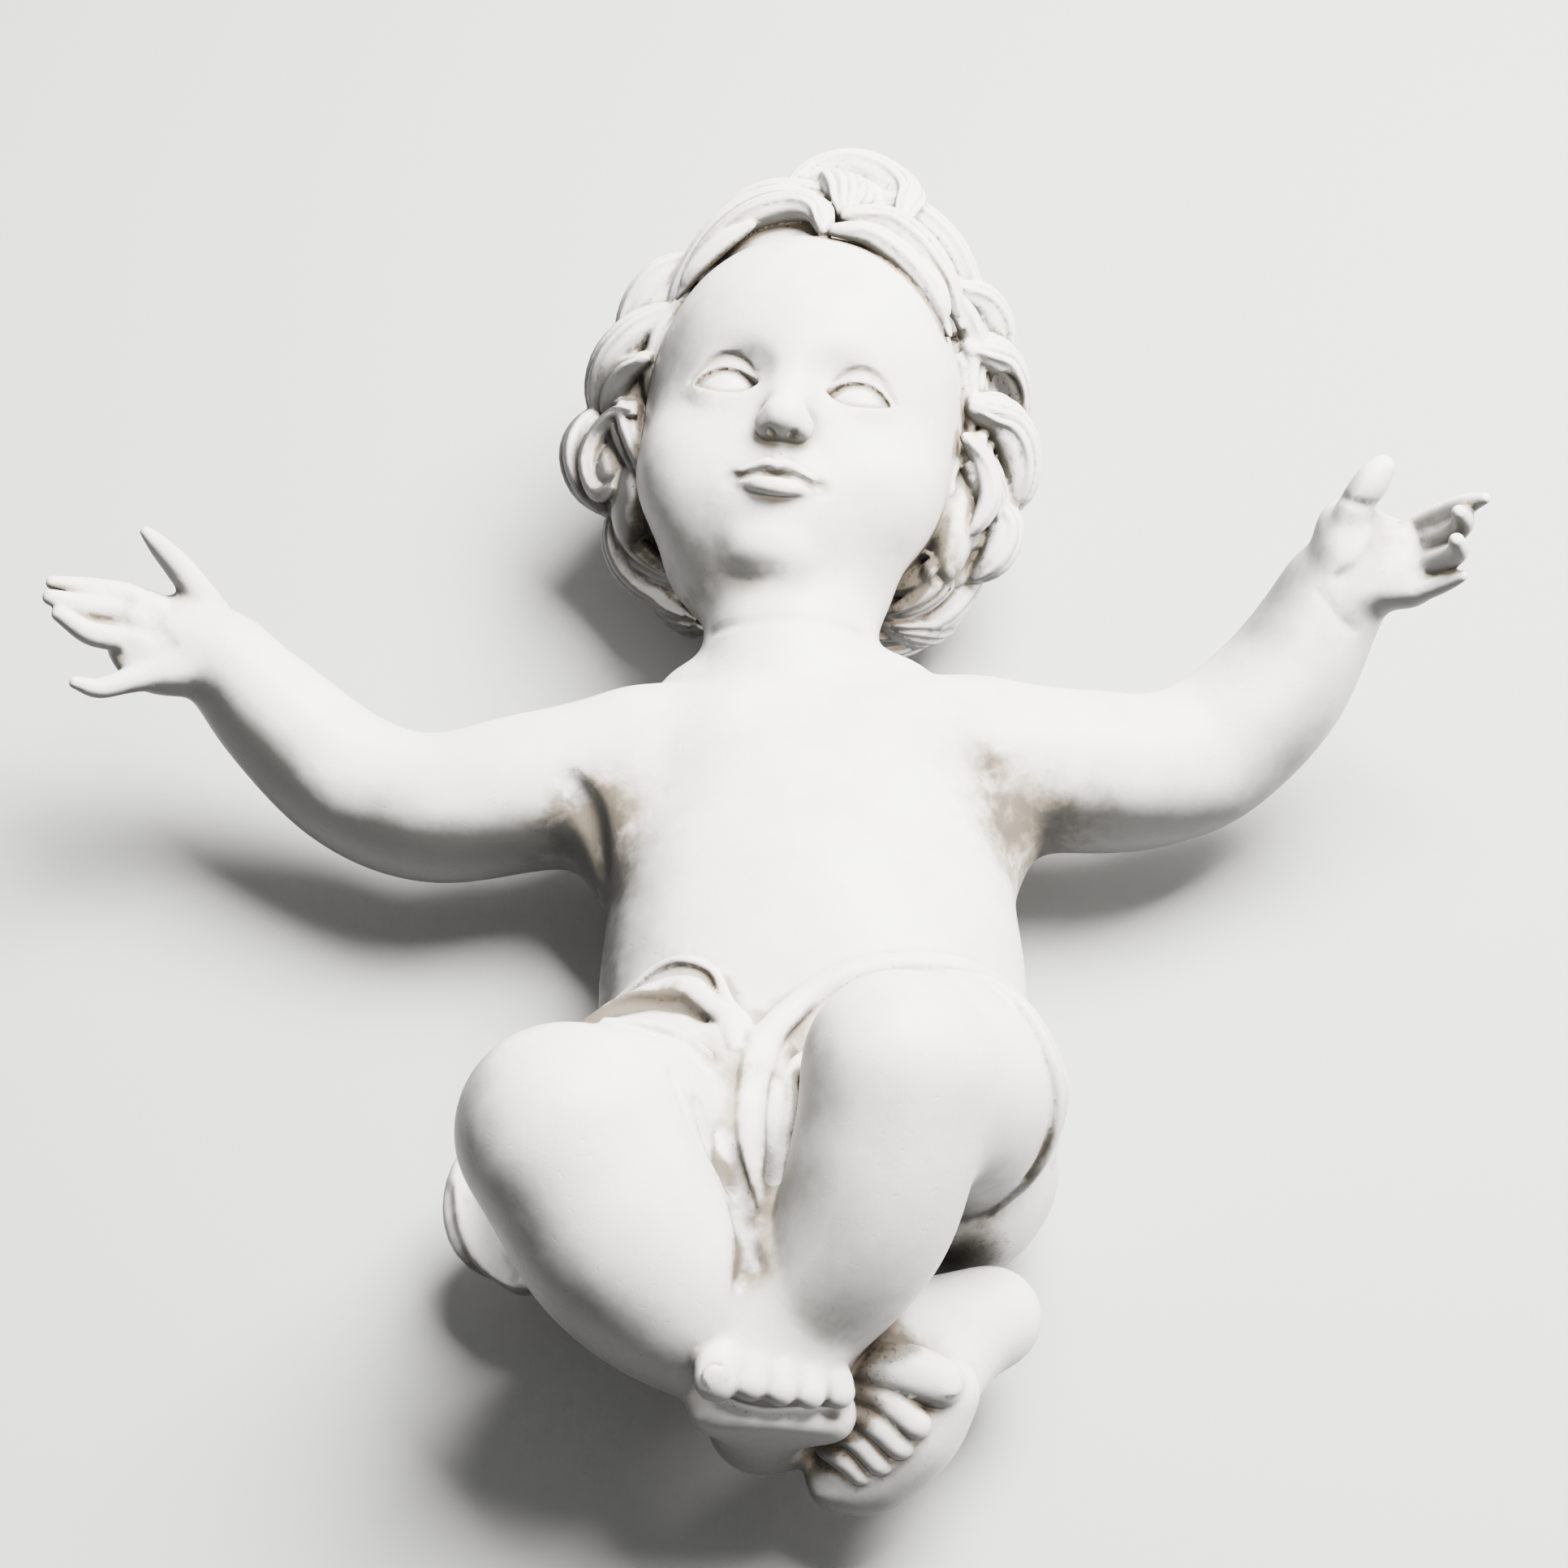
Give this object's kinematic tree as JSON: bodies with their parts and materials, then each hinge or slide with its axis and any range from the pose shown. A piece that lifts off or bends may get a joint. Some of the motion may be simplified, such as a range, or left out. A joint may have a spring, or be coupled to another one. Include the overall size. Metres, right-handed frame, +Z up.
{
  "type": "infant jesus statue",
  "caption": "Life-size nativity infant cast in one piece, lying on its back with arms spread, ankles crossed, curled hair and a draped loincloth.",
  "frame": {"origin": "on the flat patch under the back, below the breast, where the figure rests on the floor", "axes": "+Y towards the crown of the head, +X towards the figure's left hand, +Z up out of the chest"},
  "size_m": [0.4665, 0.4837, 0.1619],
  "materials": {
    "plaster": "satin white cast plaster with marble dust, pale beige patina in the hollows"
  },
  "bodies": {
    "root": {"infant_figure": "plaster"}
  },
  "joints": []
}
